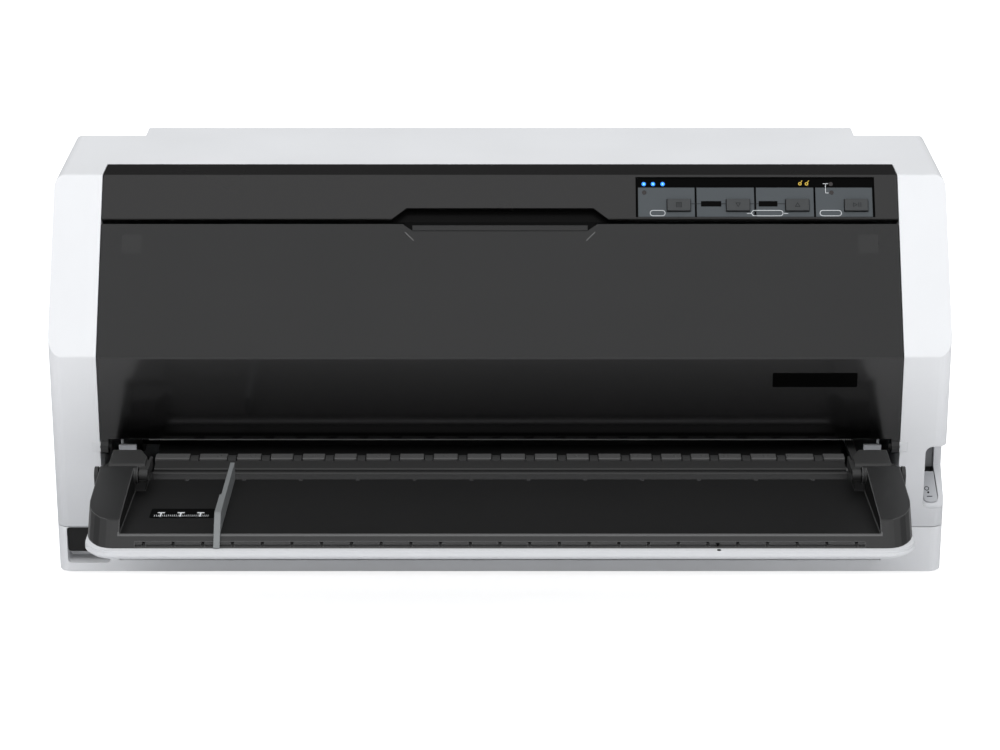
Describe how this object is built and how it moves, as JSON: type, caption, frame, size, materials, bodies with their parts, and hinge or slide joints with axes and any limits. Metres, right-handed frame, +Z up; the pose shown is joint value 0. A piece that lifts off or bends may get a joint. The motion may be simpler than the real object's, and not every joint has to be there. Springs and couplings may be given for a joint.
{
  "type": "dot matrix printer",
  "caption": "Flatbed impact printer with a smoked cover that opens forward, a lifting front paper tray with a sliding guide, push buttons and a working carriage and platen.",
  "frame": {"origin": "on the surface the feet stand on, under the middle of the whole printer with its tray", "axes": "+X to the right seen from the front, +Y to the back, +Z up"},
  "size_m": [0.483, 0.37, 0.21],
  "materials": {
    "case_white": "fine matte texture",
    "case_grey": "fine matte texture",
    "black_plastic": "fine matte texture",
    "bezel_plastic": "satin",
    "panel_grey": "printed film",
    "button_grey": "satin",
    "led_lens": "clear lens",
    "smoke_cover": "smoked transparent",
    "guide_grey": "satin",
    "light_grey": "satin",
    "rubber": "matt",
    "steel": "bright rod",
    "zinc_sheet": "zinc plated sheet",
    "gear_plastic": "acetal",
    "brass": "machined",
    "head_metal": "die cast",
    "motor_black": "black",
    "ribbon": "inked nylon",
    "knob_blue": "satin",
    "board_green": "solder mask",
    "connector_metal": "plated"
  },
  "bodies": {
    "case": {"lower_case": "case_grey", "feet": "rubber", "upper_case": "case_white", "bezel": "bezel_plastic", "panel_plate": "panel_grey", "panel_board": "board_green", "leds": "led_lens", "cover_pins": "steel", "front_guide": "black_plastic", "front_panel": "case_grey", "recess_cover": "black_plastic", "tray_pins": "steel", "switch_housing": "case_white", "chassis": "zinc_sheet", "feed_belt": "rubber", "feed_motor": "motor_black", "carriage_rods": "steel", "carriage_belt": "rubber", "carriage_motor": "motor_black", "ribbon_cartridge": "black_plastic", "ribbon_band": "ribbon", "main_board": "board_green", "power_supply": "zinc_sheet", "mains_inlet": "black_plastic", "data_ports": "connector_metal"},
    "button_1": {"button_1": "button_grey"},
    "button_2": {"button_2": "button_grey"},
    "button_3": {"button_3": "button_grey"},
    "button_4": {"button_4": "button_grey"},
    "cover": {"printer_cover": "smoke_cover", "tear_edge": "black_plastic", "cover_latches": "guide_grey"},
    "tray": {"tray": "black_plastic", "tray_lip": "case_white"},
    "edge_guide": {"edge_guide": "guide_grey"},
    "rocker": {"power_rocker": "light_grey"},
    "platen": {"platen": "rubber", "platen_shaft": "steel", "platen_gear": "gear_plastic", "platen_pulley": "gear_plastic"},
    "feed_roller": {"feed_shaft": "steel", "feed_rollers": "rubber"},
    "motor_pinion": {"motor_pinion": "brass"},
    "carriage": {"carriage": "black_plastic", "print_head": "head_metal"},
    "drive_pulley": {"drive_pulley": "gear_plastic"},
    "idler_pulley": {"idler_pulley": "gear_plastic"},
    "ribbon_knob": {"ribbon_knob": "knob_blue"},
    "rear_cover": {"rear_cover": "case_white"}
  },
  "joints": [
    {"name": "button_1_press", "type": "slide", "parent": "case", "child": "button_1", "axis": [0, 0.8144, -0.5803], "range_m": [0, 0.001], "stiffness_N_per_m": 300},
    {"name": "button_2_press", "type": "slide", "parent": "case", "child": "button_2", "axis": [0, 0.8144, -0.5803], "range_m": [0, 0.001], "stiffness_N_per_m": 300},
    {"name": "button_3_press", "type": "slide", "parent": "case", "child": "button_3", "axis": [0, 0.8144, -0.5803], "range_m": [0, 0.001], "stiffness_N_per_m": 300},
    {"name": "button_4_press", "type": "slide", "parent": "case", "child": "button_4", "axis": [0, 0.8144, -0.5803], "range_m": [0, 0.001], "stiffness_N_per_m": 300},
    {"name": "cover_hinge", "type": "hinge", "parent": "case", "child": "cover", "pos_m": [0, -0.04, 0.075], "axis": [1, 0, 0], "range_deg": [0, 60]},
    {"name": "tray_hinge", "type": "hinge", "parent": "case", "child": "tray", "pos_m": [0, -0.108, 0.0855], "axis": [1, 0, 0], "range_deg": [-75, 0]},
    {"name": "edge_guide_slide", "type": "slide", "parent": "tray", "child": "edge_guide", "axis": [1, 0, 0], "range_m": [-0.035, 0.06]},
    {"name": "power_rocker_tilt", "type": "hinge", "parent": "case", "child": "rocker", "pos_m": [0.2335, -0.0261, 0.044], "axis": [1, 0, 0], "range_deg": [-8, 0]},
    {"name": "platen_turn", "type": "hinge", "parent": "case", "child": "platen", "pos_m": [0, 0.03, 0.062], "axis": [1, 0, 0], "continuous": true},
    {"name": "feed_turn", "type": "hinge", "parent": "case", "child": "feed_roller", "pos_m": [0, -0.056, 0.0663], "axis": [1, 0, 0], "continuous": true},
    {"name": "motor_pinion_turn", "type": "hinge", "parent": "case", "child": "motor_pinion", "pos_m": [-0.2085, 0.04973, 0.05482], "axis": [1, 0, 0], "continuous": true},
    {"name": "carriage_slide", "type": "slide", "parent": "case", "child": "carriage", "axis": [1, 0, 0], "range_m": [-0.13, 0.13]},
    {"name": "drive_pulley_turn", "type": "hinge", "parent": "case", "child": "drive_pulley", "pos_m": [0.18, 0.096, 0.101], "axis": [0, 0, 1], "continuous": true},
    {"name": "idler_pulley_turn", "type": "hinge", "parent": "case", "child": "idler_pulley", "pos_m": [-0.18, 0.096, 0.101], "axis": [0, 0, 1], "continuous": true},
    {"name": "ribbon_knob_turn", "type": "hinge", "parent": "case", "child": "ribbon_knob", "pos_m": [-0.15, -0.02275, 0.1], "axis": [0, 0, 1], "continuous": true},
    {"name": "rear_cover_hinge", "type": "hinge", "parent": "case", "child": "rear_cover", "pos_m": [0, 0.125, 0.193], "axis": [1, 0, 0], "range_deg": [0, 70]}
  ],
  "couplings": [
    {"joint": "feed_turn", "follows": "platen_turn", "ratio": 1},
    {"joint": "motor_pinion_turn", "follows": "platen_turn", "ratio": -2.5},
    {"joint": "drive_pulley_turn", "follows": "carriage_slide", "rad_per_m": 129.03},
    {"joint": "idler_pulley_turn", "follows": "carriage_slide", "rad_per_m": 129.03}
  ]
}
